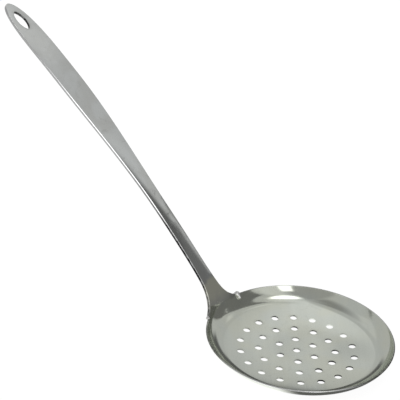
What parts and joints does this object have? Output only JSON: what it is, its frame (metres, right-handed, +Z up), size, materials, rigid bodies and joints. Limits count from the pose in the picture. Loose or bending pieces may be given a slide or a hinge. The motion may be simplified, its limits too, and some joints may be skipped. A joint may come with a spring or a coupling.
{
  "type": "kitchen skimmer",
  "caption": "Stainless steel skimmer: a shallow round dish with drain holes, and a long leaf-shaped strip handle with a hanging eye, welded to the rim.",
  "frame": {"origin": "on the dish's axis, at the underside of its floor", "axes": "+Z up along the dish's axis, +X from the dish towards the handle's tip, +Y across the handle"},
  "size_m": [0.2948, 0.12, 0.1816],
  "materials": {
    "dish_steel": "polished by hand, with fine rubbing marks and rinsing stains",
    "handle_steel": "satin, rubbed along its length",
    "weld_metal": "bare weld metal, ground in places"
  },
  "bodies": {
    "root": {"dish": "dish_steel", "handle": "handle_steel", "weld_seam": "weld_metal"}
  },
  "joints": []
}
